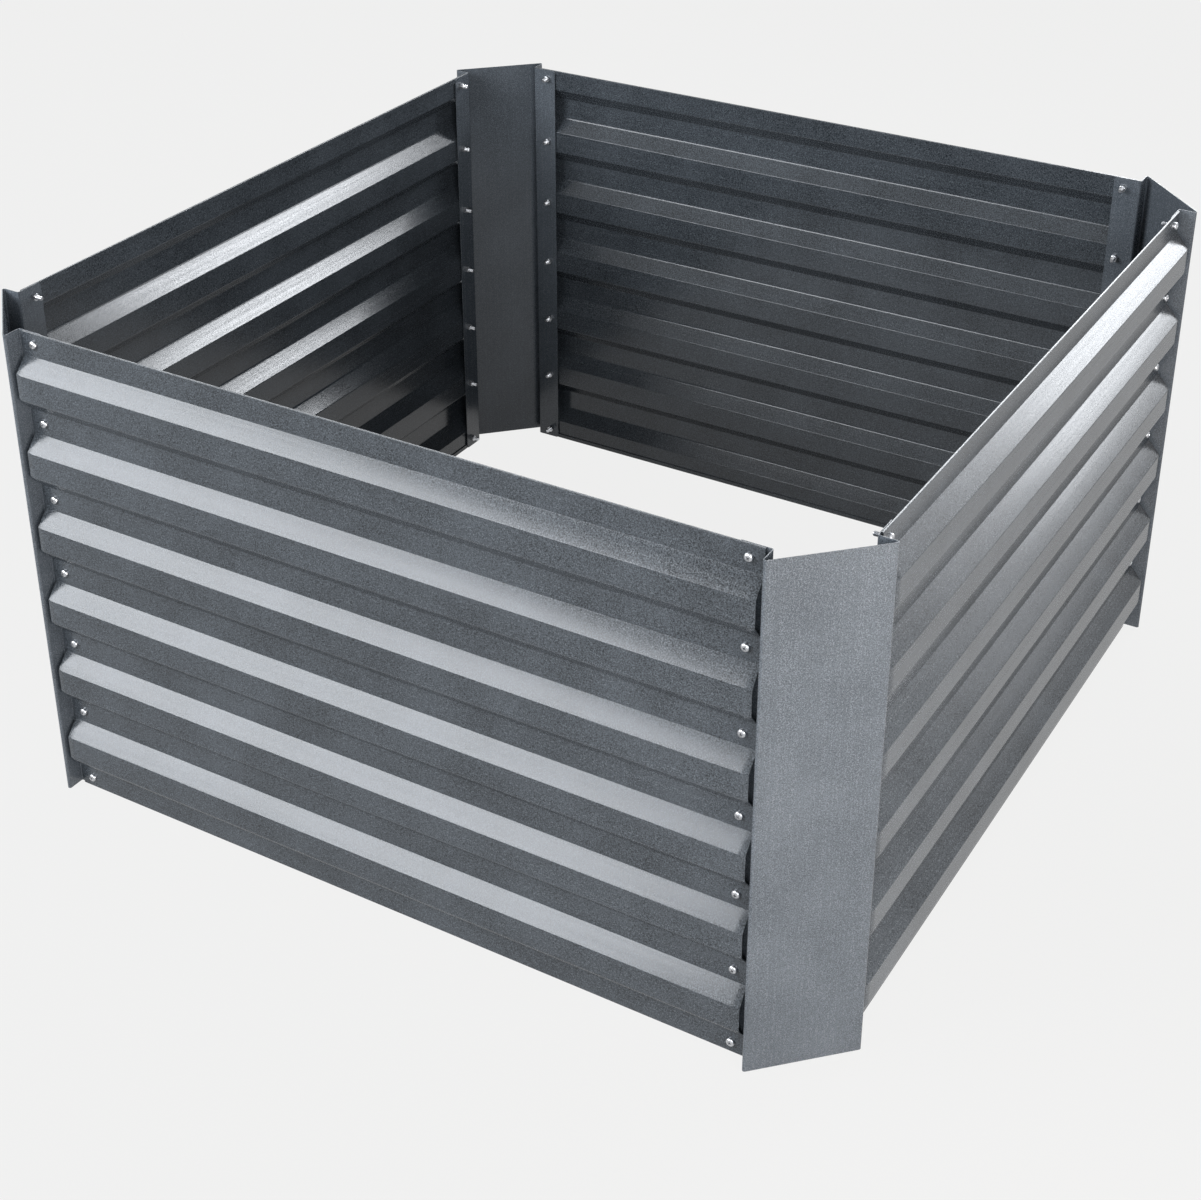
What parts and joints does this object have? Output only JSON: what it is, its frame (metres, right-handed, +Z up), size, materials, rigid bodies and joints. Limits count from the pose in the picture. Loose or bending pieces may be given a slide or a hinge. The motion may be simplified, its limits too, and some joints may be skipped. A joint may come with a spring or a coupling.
{
  "type": "raised garden bed",
  "caption": "Open-topped square raised garden bed: ribbed sheet-steel panels with hemmed edges, bolted to folded diagonal corner posts.",
  "frame": {"origin": "middle of the bed's footprint, on the ground plane under the panels and posts", "axes": "+Z up, +X along the front panel towards the right panel, +Y from the front panel towards the back panel"},
  "size_m": [1.084, 1.084, 0.6],
  "materials": {
    "panel_coating": "fine-textured anthracite powder coat, satin",
    "post_coating": "fine-textured anthracite powder coat, satin",
    "zinc_fasteners": "bright zinc plate"
  },
  "bodies": {
    "root": {"panel_front": "panel_coating", "panel_right": "panel_coating", "panel_back": "panel_coating", "panel_left": "panel_coating", "corner_post_front_left": "post_coating", "corner_post_front_right": "post_coating", "corner_post_back_right": "post_coating", "corner_post_back_left": "post_coating", "bolts_front_panel_left_end": "zinc_fasteners", "bolts_front_panel_right_end": "zinc_fasteners", "bolts_right_panel_front_end": "zinc_fasteners", "bolts_right_panel_back_end": "zinc_fasteners", "bolts_back_panel_right_end": "zinc_fasteners", "bolts_back_panel_left_end": "zinc_fasteners", "bolts_left_panel_back_end": "zinc_fasteners", "bolts_left_panel_front_end": "zinc_fasteners", "nuts_front_panel_left_end": "zinc_fasteners", "nuts_front_panel_right_end": "zinc_fasteners", "nuts_right_panel_front_end": "zinc_fasteners", "nuts_right_panel_back_end": "zinc_fasteners", "nuts_back_panel_right_end": "zinc_fasteners", "nuts_back_panel_left_end": "zinc_fasteners", "nuts_left_panel_back_end": "zinc_fasteners", "nuts_left_panel_front_end": "zinc_fasteners"}
  },
  "joints": []
}
